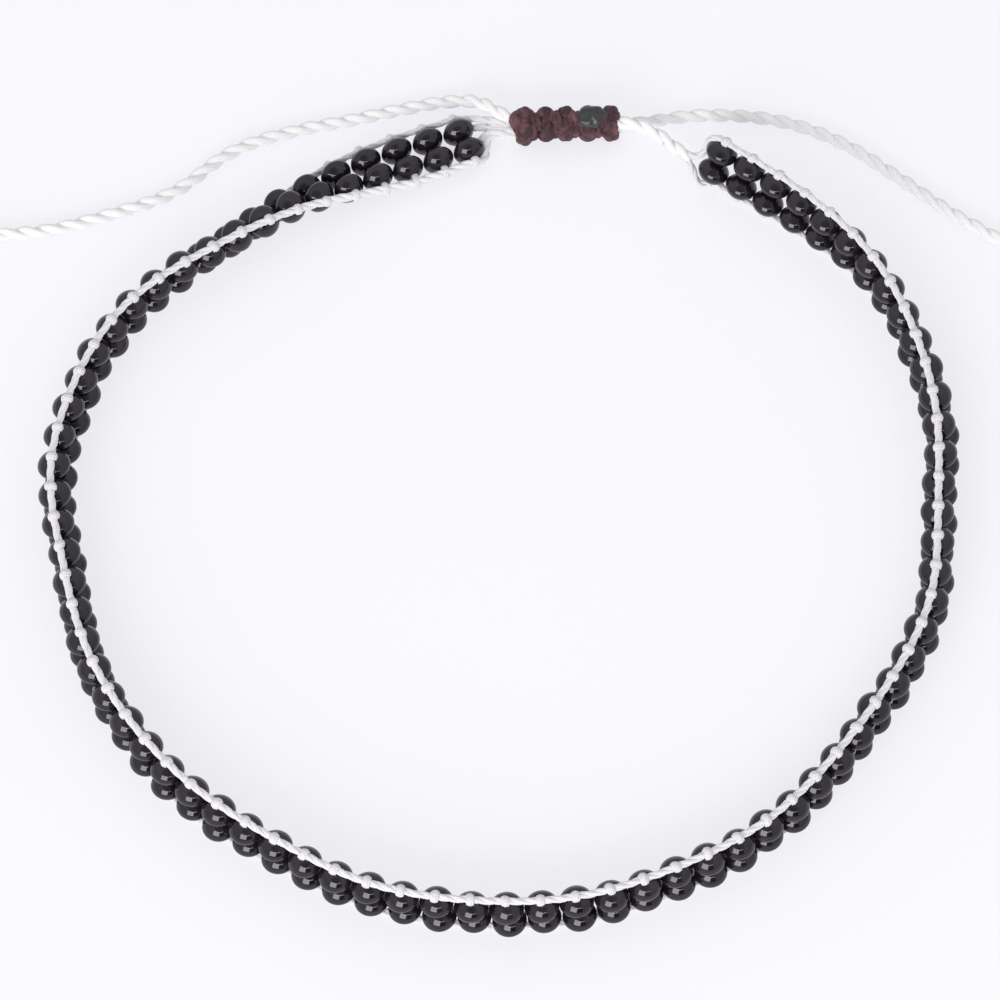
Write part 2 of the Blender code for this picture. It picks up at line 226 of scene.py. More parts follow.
def smooth_rows(rows, measured, steps=24):
    """Rows read closely along the natural cubic spline through the given rows.

    The first `measured` columns are places, which set the distance between rows.
    """
    rows = np.array(rows, float)
    spans = np.linalg.norm(np.diff(rows[:, :measured], axis=0), axis=1)
    last = len(rows) - 1
    matrix = np.eye(len(rows))
    wanted = np.zeros_like(rows)
    for i in range(1, last):
        before, after = spans[i - 1], spans[i]
        matrix[i, i - 1:i + 2] = before, 2 * (before + after), after
        wanted[i] = 6 * ((rows[i + 1] - rows[i]) / after - (rows[i] - rows[i - 1]) / before)
    bends = np.linalg.solve(matrix, wanted)
    share = (np.arange(steps) / steps)[:, None]
    rest = 1 - share
    pieces = [
        rest * rows[i] + share * rows[i + 1]
        + ((rest ** 3 - rest) * bends[i] + (share ** 3 - share) * bends[i + 1]) * spans[i] ** 2 / 6
        for i in range(last)
    ]
    return np.vstack(pieces + [rows[-1:]])


class Route:
    """A smooth route that is read by the length along it, and runs on straight past both ends."""

    def __init__(self, rows, measured, steps=24):
        rows = smooth_rows(rows, measured, steps)
        spans = np.linalg.norm(np.diff(rows[:, :measured], axis=0), axis=1)
        self.lengths = np.concatenate([[0.0], np.cumsum(spans)])
        self.length = self.lengths[-1]
        self.rows = rows
        self.end_slopes = (rows[1] - rows[0]) / spans[0], (rows[-1] - rows[-2]) / spans[-1]

    def at(self, lengths):
        """Every column at the given lengths along the route, one row each."""
        lengths = np.atleast_1d(np.asarray(lengths, float))
        inside = np.clip(lengths, 0.0, self.length)
        rows = np.stack([np.interp(inside, self.lengths, column) for column in self.rows.T], 1)
        over = (lengths - inside)[:, None]
        return rows + np.where(over > 0, self.end_slopes[1], self.end_slopes[0]) * over


def unit(vectors):
    """The vectors at length one."""
    return vectors / np.linalg.norm(vectors, axis=-1, keepdims=True)


class Band:
    """The band's middle line, with the directions along, through and across it at any length."""

    def __init__(self):
        self.route = Route([(x * MM, y * MM, lean) for x, y, lean in BAND_ROUTE], 2)
        self.rungs = round(self.route.length / RUNG_SPACING) + 1
        self.pitch = self.route.length / (self.rungs - 1)

    def frames(self, lengths):
        """The middles, and the directions through outwards, along the run and across to the upper edge."""
        lengths = np.atleast_1d(np.asarray(lengths, float))
        rows = self.route.at(lengths)
        forward = np.zeros((len(lengths), 3))
        before, after = (self.route.at(lengths + way * DIRECTION_REACH)[:, :2] for way in (-1, 1))
        forward[:, :2] = unit(after - before)
        outward = np.stack([forward[:, 1], -forward[:, 0], np.zeros(len(lengths))], 1)
        lean = np.radians(rows[:, 2])[:, None]
        across = np.sin(lean) * outward + np.cos(lean) * UP
        through = np.cos(lean) * outward - np.sin(lean) * UP
        reaches = [np.abs(w * MM * across[:, 2]) + np.abs(t * MM * through[:, 2]) for w, t in PROFILE]
        middle = np.column_stack([rows[:, :2], np.max(reaches, axis=0)])
        return middle, through, forward, across

    def slant(self, lengths):
        """How far along the run the lower bead sits past the upper one."""
        rungs, shifts = zip(*RUNG_SLANTS)
        return np.interp(np.asarray(lengths) / self.pitch, rungs, shifts) * MM

    def spot(self, lengths, across_by, through_by=0.0):
        """Places beside the middle line, moved along the run as the rungs slant."""
        middle, through, forward, across = self.frames(lengths)
        shift = -self.slant(lengths) * across_by / (2 * BEAD_OFFSET)
        return middle + across * across_by + through * through_by + forward * np.asarray(shift)[:, None]


class Form:
    """Vertices, faces and surface coordinates of many small parts, gathered into one mesh."""

    def __init__(self):
        self.places, self.faces, self.surface, self.count = [], [], [], 0

    def add_tube(self, rings, along, ring_closed=False):
        """Rings of places, each joined to the next, and capped unless the last is joined to the first.

        `along` is the first surface coordinate of each ring.
        """
        number, sides = rings.shape[:2]
        i = np.arange(number if ring_closed else number - 1)[:, None]
        j = np.arange(sides)[None]
        after, beside = (i + 1) % number, (j + 1) % sides
        faces = np.stack([i * sides + j, i * sides + beside, after * sides + beside, after * sides + j], -1)
        along = np.append(along, 2 * along[-1] - along[-2])
        low, high = along[i] + 0 * j, along[i + 1] + 0 * j
        left, right = j / sides + 0 * i, (j + 1) / sides + 0 * i
        surface = np.stack([low, left, low, right, high, right, high, left], -1)
        self.faces.append(faces.reshape(-1, 4) + self.count)
        self.surface.append(surface.reshape(-1, 4, 2))
        if not ring_closed:
            for ring, step in ((0, -1), (number - 1, 1)):
                cap = np.arange(sides)[::step] + ring * sides + self.count
                self.faces.append(cap[None])
                self.surface.append(np.full((1, sides, 2), along[ring]))
        self.places.append(rings.reshape(-1, 3))
        self.count += number * sides

    def mesh(self, name):
        """The gathered parts as mesh data, shaded smooth, and pressed flat where they meet the table."""
        data = bpy.data.meshes.new(name)
        places = np.concatenate(self.places)
        places[:, 2] = np.maximum(places[:, 2], 0.0)
        totals = np.concatenate([np.full(len(f), f.shape[1]) for f in self.faces])
        corners = np.concatenate([f.ravel() for f in self.faces])
        data.vertices.add(len(places))
        data.vertices.foreach_set("co", places.astype(np.float32).ravel())
        data.loops.add(len(corners))
        data.loops.foreach_set("vertex_index", corners.astype(np.int32))
        data.polygons.add(len(totals))
        starts = np.concatenate([[0], np.cumsum(totals)[:-1]])
        data.polygons.foreach_set("loop_start", starts.astype(np.int32))
        data.polygons.foreach_set("loop_total", totals.astype(np.int32))
        layer = data.uv_layers.new(name="Along")
        layer.uv.foreach_set("vector", np.concatenate([s.ravel() for s in self.surface]).astype(np.float32))
        data.update(calc_edges=True)
        data.validate()
        data.shade_smooth()
        return data


def ring_points(sides):
    """The angles of a ring's places."""
    return 2 * np.pi * np.arange(sides) / sides


def strand_frames(route, lengths):
    """Places on a route with a side and an upward direction. The route's rows hold place and up."""
    rows = route.at(lengths)
    places = rows[:, :3]
    along = unit(np.gradient(places, axis=0))
    upward = rows[:, 3:6]
    upward = unit(upward - along * np.sum(upward * along, axis=1, keepdims=True))
    return places, np.cross(upward, along), upward


def add_plies(form, route, lengths, plies, ply_radius, lay_radius, pitch, sides=10, flat=1.0, phase=0.0):
    """Twisted plies along a route, laid right-handed. `flat` presses them together along the route's up.

    The radii are numbers, or one for each length.
    """
    places, side, upward = strand_frames(route, lengths)
    angles = ring_points(sides)[None, :, None]
    ones = np.ones(len(lengths))
    ply_radius = (ply_radius * ones)[:, None]
    lay_radius = (lay_radius * ones)[:, None]
    for ply in range(plies):
        turn = (2 * np.pi * (lengths / pitch + ply / plies) + phase)[:, None]
        offset = lay_radius * (np.cos(turn) * side + np.sin(turn) * upward)
        centre = places + offset
        tangent = unit(np.gradient(centre, axis=0))
        first = unit(offset - tangent * np.sum(offset * tangent, axis=1, keepdims=True))
        second = np.cross(tangent, first)
        wave = np.cos(angles) * first[:, None] + np.sin(angles) * second[:, None]
        reach = offset[:, None] + ply_radius[:, None] * wave
        press = np.sum(reach * upward[:, None], axis=2, keepdims=True) * (flat - 1) * upward[:, None]
        form.add_tube(places[:, None] + reach + press, lengths / MM)


def with_up(places, up=UP):
    """Places with an upward direction in three more columns."""
    places = np.asarray(places, float)
    return np.hstack([places, np.broadcast_to(up, places.shape)])


def show(name, form, material):
    """A new piece of the bracelet, in the material, hung under the root body."""
    data = form.mesh(name)
    old = bpy.data.objects.get(name)
    if old:
        bpy.data.objects.remove(old, do_unlink=True)
    piece = bpy.data.objects.new(name, data)
    data.materials.append(material)
    bpy.context.scene.collection.objects.link(piece)
    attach(piece, "root")
    return piece


def set_inputs(node, values):
    """Sets some of a node's sockets."""
    for key, value in values.items():
        node.inputs[key].default_value = value


def new_material(name, values):
    """A node material with its node tree and its shader, which has some sockets set."""
    material = bpy.data.materials.get(name)
    if material:
        bpy.data.materials.remove(material)
    material = bpy.data.materials.new(name)
    material.use_nodes = True
    tree = material.node_tree
    shader = tree.nodes["Principled BSDF"]
    set_inputs(shader, values)
    return material, tree, shader


def noise_over(tree, source, stretch, scale, detail):
    """Noise over surface or object coordinates, stretched by three factors."""
    coordinates = tree.nodes.new("ShaderNodeTexCoord")
    mapping = tree.nodes.new("ShaderNodeMapping")
    set_inputs(mapping, {"Scale": stretch})
    tree.links.new(coordinates.outputs[source], mapping.inputs["Vector"])
    noise = tree.nodes.new("ShaderNodeTexNoise")
    set_inputs(noise, {"Scale": scale, "Detail": detail, "Roughness": 0.6})
    tree.links.new(mapping.outputs["Vector"], noise.inputs["Vector"])
    return noise.outputs["Fac"]


def even_noise(tree, scale, detail):
    """Noise over object coordinates, the same in all directions."""
    return noise_over(tree, "Object", (1.0, 1.0, 1.0), scale, detail)


def map_range(tree, value, start, end):
    """A value mapped from one range to another, both given as pairs."""
    node = tree.nodes.new("ShaderNodeMapRange")
    set_inputs(node, dict(zip(("From Min", "From Max", "To Min", "To Max"), (*start, *end))))
    tree.links.new(value, node.inputs["Value"])
    return node


def add_bump(tree, shader, height, strength, distance):
    """A bump from a height output."""
    bump = tree.nodes.new("ShaderNodeBump")
    set_inputs(bump, {"Strength": strength, "Distance": distance})
    tree.links.new(height, bump.inputs["Height"])
    tree.links.new(bump.outputs["Normal"], shader.inputs["Normal"])


def tint(tree, shader, factor, first, last, stops=(0.3, 0.7)):
    """Colours the shader between two colours."""
    ramp = tree.nodes.new("ShaderNodeValToRGB")
    for element, stop, colour in zip(ramp.color_ramp.elements, stops, (first, last)):
        element.position = stop
        element.color = (*colour, 1.0)
    tree.links.new(factor, ramp.inputs["Fac"])
    tree.links.new(ramp.outputs["Color"], shader.inputs["Base Color"])


def scaled(colour, share):
    """A colour made darker or lighter."""
    return tuple(c * share for c in colour)


def black_glass(colour):
    """Black glass: polished, with faint waves and slightly dulled patches."""
    material, tree, shader = new_material("black_bead_glass", {"IOR": 1.48})
    patches = even_noise(tree, 900.0, 3.0)
    tint(tree, shader, patches, scaled(colour, 0.6), scaled(colour, 1.5))
    dull = map_range(tree, patches, (0.35, 0.75), (0.05, 0.13))
    tree.links.new(dull.outputs["Result"], shader.inputs["Roughness"])
    add_bump(tree, shader, even_noise(tree, 1400.0, 2.0), 0.08, 0.00003)
    return material


def cotton(name, colour, shade, fibre_scale):
    """White spun thread: fine fibres that run with the ply, soft sheen and painted shade in their hollows."""
    material, tree, shader = new_material(
        name, {"Roughness": 0.82, "Sheen Weight": 0.35, "Sheen Roughness": 0.5})
    fibres = noise_over(tree, "UV", (1.2, 14.0, 1.0), fibre_scale, 5.0)
    # The shade colour is painted shade, laid into the hollows of the fibres' bump.
    tint(tree, shader, fibres, shade, colour)
    add_bump(tree, shader, fibres, 0.4, 0.00004)
    return material


def maroon_yarn(colour, light):
    """Waxed maroon yarn: twisted fibres, with paler, pinker patches at random that are painted highlights."""
    material, tree, shader = new_material(
        "maroon_knot_yarn", {"Roughness": 0.58, "Specular IOR Level": 0.22, "Sheen Weight": 0.06})
    # The paler, pinker patches are painted highlights, laid at random by noise.
    tint(tree, shader, even_noise(tree, 1100.0, 3.0), colour, light, (0.44, 0.72))
    fibres = noise_over(tree, "UV", (1.0, 10.0, 1.0), 3.0, 5.0)
    add_bump(tree, shader, fibres, 0.6, 0.00006)
    return material


def melted_yarn(colour):
    """The sealed yarn ends: a smooth, dark grey crust with a soft gloss."""
    material, tree, shader = new_material("melted_yarn_ends", {"Roughness": 0.28, "Specular IOR Level": 0.4})
    blots = even_noise(tree, 1500.0, 4.0)
    tint(tree, shader, blots, scaled(colour, 0.6), scaled(colour, 2.1))
    add_bump(tree, shader, blots, 0.25, 0.00004)
    return material


def table_top(colour, glow):
    """The pale table: plain, with the slightest grain, and lit from within so that shadows stay faint."""
    material, tree, shader = new_material("pale_table", {
        "Roughness": 0.9, "Specular IOR Level": 0.2,
        "Emission Color": (*glow, 1.0), "Emission Strength": 1.0})
    tint(tree, shader, even_noise(tree, 40.0, 2.0), scaled(colour, 0.985), colour)
    return material


def bead_section(diameter, length, hole, fullness, points):
    """A bead cut along its hole: rows of radius and place along the hole, round the glass.

    The outside is a flattened round that tapers a little, cut off by the hole with a small rounded lip.
    """
    radius, bore = diameter / 2, hole / 2
    lip = BEAD_LIP * radius
    power = 2 / fullness
    reach = math.acos(((bore + lip) / radius) ** (1 / power))
    height = length / 2 / math.sin(reach) ** power
    outside = np.linspace(reach, -reach, points)
    turns = np.radians((30, 60, 90))
    lip_radius = bore + lip * (1 - np.sin(turns))
    lip_along = length / 2 - lip * (1 - np.cos(turns))
    rise = np.sign(outside) * np.abs(np.sin(outside)) ** power
    radii = np.concatenate([np.cos(outside) ** power * radius, lip_radius, [bore, bore], lip_radius[::-1]])
    along = np.concatenate([rise * height, -lip_along, [-length / 6, length / 6], lip_along[::-1]])
    return radii, along


def build_beads(name, side, settings, material, chance):
    """One column of beads, each a little different and a little turned on its thread."""
    band = Band()
    lengths = np.arange(band.rungs) * band.pitch
    centres = band.spot(lengths, side * BEAD_OFFSET)
    slants = band.slant(lengths) / (2 * BEAD_OFFSET)
    _, through, forward, across = band.frames(lengths)
    form = Form()
    turns = ring_points(settings.bead_sides)
    for i in range(band.rungs):
        size = 1 + settings.unevenness * np.clip(chance.normal(size=2), *BEAD_SIZE_RANGE)
        radius, along = bead_section(settings.diameter * size[0], settings.length * size[1], settings.hole,
                                     settings.fullness, settings.section_points)
        tilt = np.radians(settings.tilt) * np.clip(chance.normal(size=2), *BEAD_TILT_RANGE)
        axis = unit(across[i] + (tilt[0] - slants[i]) * forward[i] + tilt[1] * through[i])
        first = unit(through[i] - axis * (through[i] @ axis))
        second = np.cross(axis, first)
        shift = BEAD_SWAY * np.clip(chance.normal(size=1), -1, 1) * through[i]
        spin = np.cos(turns)[:, None] * first + np.sin(turns)[:, None] * second
        rings = centres[i] + shift + along[None, :, None] * axis + radius[None, :, None] * spin[:, None]
        rings[..., 2] += max(0.0, -rings[..., 2].min())
        form.add_tube(rings, turns, ring_closed=True)
    return show(name, form, material)


def stray(band, side, lengths):
    """How far an edge thread is off the edge's middle, across the band and through it."""
    rungs, strays = zip(*(UPPER_STRAYS if side > 0 else LOWER_STRAYS))
    far = np.interp(np.asarray(lengths) / band.pitch, rungs, strays) * MM
    return (far, 0 * far) if side > 0 else (0 * far, far)


def edge_rows(band, across_by, start_lead, end_lead):
    """The route of an edge thread with its up: from one lead, along the band's edge and into the other."""
    lengths = np.arange(0, 2 * band.rungs - 1) * band.pitch / 2
    dip = np.where(np.arange(len(lengths)) % 2, THREAD_DIP, 0.0) * np.sign(across_by)
    _, through, _, across = band.frames(lengths)
    off, lift = stray(band, across_by, lengths)
    places = band.spot(lengths, across_by) + across * (off - dip)[:, None] + through * lift[:, None]
    ups = across * np.sign(across_by)
    before = with_up(np.array(start_lead) * MM)
    after = with_up(np.array(end_lead) * MM)
    return np.vstack([before, np.hstack([places, ups]), after])


def build_edge_thread(name, side, settings, material):
    """The thread along one edge of the band, which thickens as it is drawn in to the cord at each end."""
    band = Band()
    across_by = side * (BEAD_END + settings.edge_rise)
    leads = (LEFT_UPPER_LEAD, RIGHT_UPPER_LEAD) if side > 0 else (LEFT_LOWER_LEAD, RIGHT_LOWER_LEAD)
    route = Route(edge_rows(band, across_by, *leads), 3, steps=8)
    lengths = np.linspace(0, route.length, round(route.length / THREAD_STEP))
    gather = np.clip(1 - np.minimum(lengths, route.length - lengths) / settings.gather_length, 0, 1)
    half = settings.edge_width / 2 * (1 + settings.gather * gather ** 1.5)
    if side > 0:
        rungs, fuller = zip(*UPPER_FULLNESS)
        lead = np.linalg.norm(np.diff(np.array(LEFT_UPPER_LEAD), axis=0), axis=1).sum() * MM
        half = half * (1 + np.interp((lengths - lead) / band.pitch, rungs, fuller))
    form = Form()
    add_plies(form, route, lengths, 3, half * PLY_RADIUS, half * PLY_OUT, settings.edge_pitch, 9,
              settings.edge_flatness)
    show(name, form, material)


def build_gathers(name, settings, material):
    """The weft's strands between the edge threads at the left end, twisted together towards the knot."""
    form = Form()
    for rows in LEFT_GATHERS:
        route = Route(with_up(np.array(rows) * MM), 3)
        lengths = np.linspace(0, route.length, 26)
        half = settings.edge_width / 2
        add_plies(form, route, lengths, 3, half * PLY_RADIUS, half * PLY_OUT, settings.edge_pitch, 9)
    show(name, form, material)


def loop_rows(settings):
    """One weft loop seen along the band: rows of place through the band and place out from the bead's end."""
    top = settings.edge_rise * 2 + settings.loop_radius * 0.8
    reach = settings.edge_width / 2 + settings.loop_radius * 0.5
    rising = np.array([
        (-0.10 * MM, -0.55 * MM), (-0.17 * MM, -0.18 * MM), (-reach, 0.06 * MM),
        (-reach * 0.96, top * 0.62), (-reach * 0.58, top * 0.98),
    ])
    return np.vstack([rising, [(0.0, top * 1.08)], rising[::-1] * (-1, 1)])


def build_loops(name, side, settings, material, chance):
    """The weft's loops over one edge thread: a small flat bundle out of each bead and back in."""
    band = Band()
    form = Form()
    rows = loop_rows(settings)
    squeeze, sway = (
        np.array([*rising, 1.0, 1.0, 1.0, 1.0, 1.0, *rising[::-1]])
        for rising in ((0.25, 0.55, 0.95), (0.0, 0.1, 0.7))
    )
    marks = np.linspace(-1, 1, settings.loop_strands)
    for rung in range(band.rungs):
        length = rung * band.pitch
        _, through, forward, across = (v[0] for v in band.frames(length))
        foot = band.spot([length], side * BEAD_END)[0]
        out = across * side
        off, lift = stray(band, side, length)
        aside = sway[:, None] * (off * out + lift * through)
        lean = chance.normal() * LOOP_LEAN
        size = 1 + np.clip(chance.normal(), -1.5, 1.5) * LOOP_UNEVENNESS
        for mark in marks:
            swell = rows * size * (1 - LOOP_SHRINK * mark ** 2)
            shift = squeeze * mark * settings.loop_spread + np.linspace(-1, 1, len(rows)) * lean
            places = (foot + swell[:, :1] * through + swell[:, 1:] * out + shift[:, None] * forward
                      + aside)
            route = Route(with_up(places, forward), 3, steps=4)
            lengths = np.linspace(0, route.length, 24)
            add_plies(form, route, lengths, 1, settings.loop_radius, 0.001 * MM, MM, 8,
                      phase=chance.uniform(0, FULL_TURN))
    show(name, form, material)


def cord_route(rows, knot_height):
    """A cord's route, never lower than it lies on the table."""
    climb = knot_height - CORD_TABLE_HEIGHT
    places = [(x * MM, y * MM, CORD_TABLE_HEIGHT + rise * climb) for x, y, rise in rows]
    smooth = smooth_rows(places, 3)
    smooth[:, 2] = np.maximum(smooth[:, 2], CORD_TABLE_HEIGHT)
    return Route(with_up(smooth), 3, steps=1)


def build_cord(name, node, rows, knot_height, settings, material):
    """One laid cord from the band's end through the knot to its tail, as two twisted plies."""
    route = cord_route(rows, knot_height)
    lengths = np.linspace(0, route.length, round(route.length / CORD_STEP))
    form = Form()
    start = np.clip(1 - lengths / CORD_TAPER_LENGTH, 0, 1)
    radius = settings.diameter / 2 * (1 - CORD_TAPER * start ** 2)
    add_plies(form, route, lengths, 2, radius * PLY_RADIUS, radius * PLY_OUT, settings.pitch, 16)
    piece = show(name, form, material)
    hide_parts(node)
    path = route.at(np.linspace(0, route.length, 120))[:, :3]


def build_stopper(name, node, rows, knot_height, settings, material):
    """The overhand knot at a tail's end, pulled tight, with the cord's short cut end."""
    route = cord_route(rows, knot_height)
    end = route.at([route.length - CORD_DIAMETER, route.length, route.length + STOPPER_MIDDLE])[:, :3]
    along = unit(end[1] - end[0])
    along[2] = 0
    aside = np.array([-along[1], along[0], 0.0])
    turns = ring_points(60)
    loop_x = (np.sin(turns) + 2 * np.sin(2 * turns)) / 3
    loop_y = (np.cos(turns) - 2 * np.cos(2 * turns)) / 3
    loop_z = -np.sin(3 * turns)
    middle = end[2] * (1, 1, 0) + UP * STOPPER_HEIGHT
    places = middle + sum(
        (loop * reach)[:, None] * way
        for loop, reach, way in zip((loop_x, loop_y, loop_z), STOPPER_REACH, (along, aside, UP)))
    closed = np.vstack([places, places[:1]])
    knot = Route(with_up(closed), 3, steps=4)
    form = Form()
    radius = settings.diameter / 2
    lengths = np.linspace(0, knot.length, 130)
    add_plies(form, knot, lengths, 2, radius * STOPPER_PLY_RADIUS, radius * STOPPER_PLY_OUT,
              knot.length / 4, 12)
    table = CORD_TABLE_HEIGHT
    for near, far in STOPPER_ENDS:
        ends = [middle * (1, 1, 0) + along * x * MM + UP * z
                for x, z in ((near, table), ((near + far) / 2, table + 0.1 * MM), (far, table))]
        stub = Route(with_up(ends), 3)
        lengths = np.linspace(0, stub.length, 14)
        add_plies(form, stub, lengths, 2, radius * 0.55, radius * 0.44, settings.pitch, 12)
    piece = show(name, form, material)
    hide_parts(node)
    return piece


def knot_place(share, angle, depth):
    """A place round the sliding knot, `depth` under its skin."""
    shares, back, front, top = (np.array(column) for column in zip(*KNOT_SWELLS))
    share = np.clip(share, 0.0, 1.0)
    side = np.cos(angle)
    rise = np.sin(angle)
    swell = np.where(side > 0, np.interp(share, shares, back), np.interp(share, shares, front))
    lift = np.where(rise > 0, np.interp(share, shares, top), KNOT_UNDERSIDE)
    y = side * (KNOT_WIDTH / 2 * swell - depth)
    z = rise * (KNOT_HEIGHT / 2 * lift - depth)
    x = (share - 0.5) * KNOT_LENGTH
    turned = np.stack([x * math.cos(KNOT_TURN) - y * math.sin(KNOT_TURN),
                       x * math.sin(KNOT_TURN) + y * math.cos(KNOT_TURN), z], -1)
    return turned + np.array(KNOT_MIDDLE)


def add_yarn(form, shares, angles, depths, diameter, settings, chance):
    """A length of yarn laid on the knot through places given by share, angle and depth under the skin."""
    places = knot_place(np.asarray(shares), np.asarray(angles), np.asarray(depths))
    heart = np.array(KNOT_MIDDLE) * (0, 1, 1) + places * (1, 0, 0)
    route = Route(np.hstack([places, unit(places - heart)]), 3, steps=4)
    lengths = np.linspace(0, route.length, max(12, round(route.length / YARN_STEP)))
    add_plies(form, route, lengths, 3, diameter * YARN_PLY_RADIUS, diameter * YARN_PLY_OUT,
              settings.yarn_pitch, 10, YARN_FLATNESS, chance.uniform(0, FULL_TURN))


def build_knot_yarn(name, settings, material, chance):
    """The knot's yarn: fat turns, tighter ones between them, and the bars that cross the seam on top."""
    form = Form()
    fat = settings.yarn_diameter
    thin = fat * THIN_YARN
    turns = np.linspace(0, 2 * np.pi, 37)
    seam = np.exp(-((turns - KNOT_SEAM) / KNOT_SEAM_SPREAD) ** 2)
    for number, share in enumerate(KNOT_LUMPS):
        notch = LAST_LUMP_NOTCH if number == len(KNOT_LUMPS) - 1 else 0.0
        lean = LUMP_LEAN * (1 if number % 2 else -1)
        shares = share + lean * np.cos(2 * turns) + notch * seam
        depths = fat * 0.50 + KNOT_SEAM_DEPTH * seam + 0.03 * MM * np.sin(3 * turns + number)
        add_yarn(form, shares, turns, depths, fat, settings, chance)
    for first, second in zip(KNOT_LUMPS, KNOT_LUMPS[1:]):
        middle = (first + second) / 2
        depths = 0.62 * MM + 0.1 * MM * seam
        add_yarn(form, middle + 0.02 * np.cos(turns), turns, depths, thin, settings, chance)
        angles = np.radians(np.linspace(62, 146, 7))
        shares = np.linspace(first + 0.02, second - 0.02, 7)
        dive = np.abs(np.linspace(-1, 1, 7)) ** 2
        add_yarn(form, shares, angles, (0.28 + 0.42 * dive) * MM, thin, settings, chance)
    angles = np.radians(np.linspace(52, 150, 8))
    bow = np.sin(np.linspace(0, math.pi, 8))
    add_yarn(form, 0.105 - 0.052 * bow, angles, (0.62 - 0.05 * bow) * MM, fat * 0.85, settings, chance)
    shares = np.linspace(0.05, 0.95, 40)
    angles = ring_points(28) + 0 * shares[:, None]
    across = shares[:, None] + 0 * angles
    lump = 1 + 0.05 * np.sin(across * 60) * np.cos(angles * 3)
    outer, inner = (knot_place(across, angles, depth * MM * lump) for depth in KNOT_CORE_DEPTHS)
    form.add_tube(np.vstack([outer, inner[::-1]]), np.append(shares, shares[::-1]) * 7, ring_closed=True)
    return show(name, form, material)


def build_melted_end(name, material):
    """The sealed yarn ends on the knot's fourth lump: a flat, lumpy crust that hugs the yarn."""
    form = Form()
    around = ring_points(48)
    rings = []
    outs = np.linspace(1, 0.04, 18)
    for out in outs:
        wobble = 1 + 0.07 * np.sin(2 * around + 0.7) + 0.05 * np.sin(5 * around + 2.0)
        wobble = wobble + 0.02 * np.sin(9 * around)
        share = MELTED_SHARE + MELTED_SHARE_REACH * out * np.cos(around) * wobble
        angle = MELTED_ANGLE - MELTED_ANGLE_REACH * out * np.sin(around) * wobble
        lumps = 0.08 * np.sin(share * 42 + 1.0) * np.cos(angle * 3.4 + 0.6)
        lumps = lumps + 0.03 * np.sin(share * 84 + 0.4) * np.sin(angle * 8)
        rise = 0.10 * (1 - out ** 4) - 0.34 * out ** 8 + lumps * (1 - out ** 6)
        rings.append(knot_place(share, angle, -rise * MM))
    form.add_tube(np.array(rings), outs)
    show(name, form, material)


def pale_surround(overhead, horizon, front):
    """A plain surround that is brightest overhead, and dimmer where the picture is taken from."""
    world = bpy.data.worlds.new("pale_surround")
    world.use_nodes = True
    tree = world.node_tree
    coordinates = tree.nodes.new("ShaderNodeTexCoord")
    parts = tree.nodes.new("ShaderNodeSeparateXYZ")
    tree.links.new(coordinates.outputs["Generated"], parts.inputs["Vector"])
    strength = map_range(tree, parts.outputs["Z"], (0.0, 1.0), (horizon, overhead))
    facing = tree.nodes.new("ShaderNodeVectorMath")
    facing.operation = "DOT_PRODUCT"
    set_inputs(facing, {1: VIEW_BACK})
    tree.links.new(coordinates.outputs["Generated"], facing.inputs[0])
    dim = map_range(
        tree, facing.outputs["Value"], (math.cos(DIMMED_FROM), math.cos(DIMMED_TO)), (1.0, front))
    dim.interpolation_type = "SMOOTHSTEP"
    product = tree.nodes.new("ShaderNodeMath")
    product.operation = "MULTIPLY"
    tree.links.new(strength.outputs["Result"], product.inputs[0])
    tree.links.new(dim.outputs["Result"], product.inputs[1])
    background = tree.nodes["Background"]
    tree.links.new(product.outputs["Value"], background.inputs["Strength"])
    set_inputs(background, {"Color": (1.0, 1.0, 1.0, 1.0)})
    return world


def aim(thing, toward, distance):
    """Puts a thing at a distance in one direction, turned to the bracelet."""
    toward = Vector(toward).normalized()
    thing.location = toward * distance
    thing.rotation_euler = (-toward).to_track_quat("-Z", "Y").to_euler()


def add_light(context, name, toward, wide, high, power):
    """A soft rectangular light that faces the bracelet."""
    data = bpy.data.lights.new(name, "AREA")
    data.shape = "RECTANGLE"
    data.size = wide
    data.size_y = high
    data.energy = power
    light = bpy.data.objects.new(name, data)
    aim(light, toward, LIGHT_DISTANCE)
    context.scene.collection.objects.link(light)


def add_sheet(context, name, wide, high, material):
    """A flat rectangle of the stage."""
    x, y = wide / 2, high / 2
    data = bpy.data.meshes.new(name)
    data.from_pydata([(-x, -y, 0), (x, -y, 0), (x, y, 0), (-x, y, 0)], [], [(0, 1, 2, 3)])
    data.materials.append(material)
    sheet = bpy.data.objects.new(name, data)
    context.scene.collection.objects.link(sheet)
    return sheet


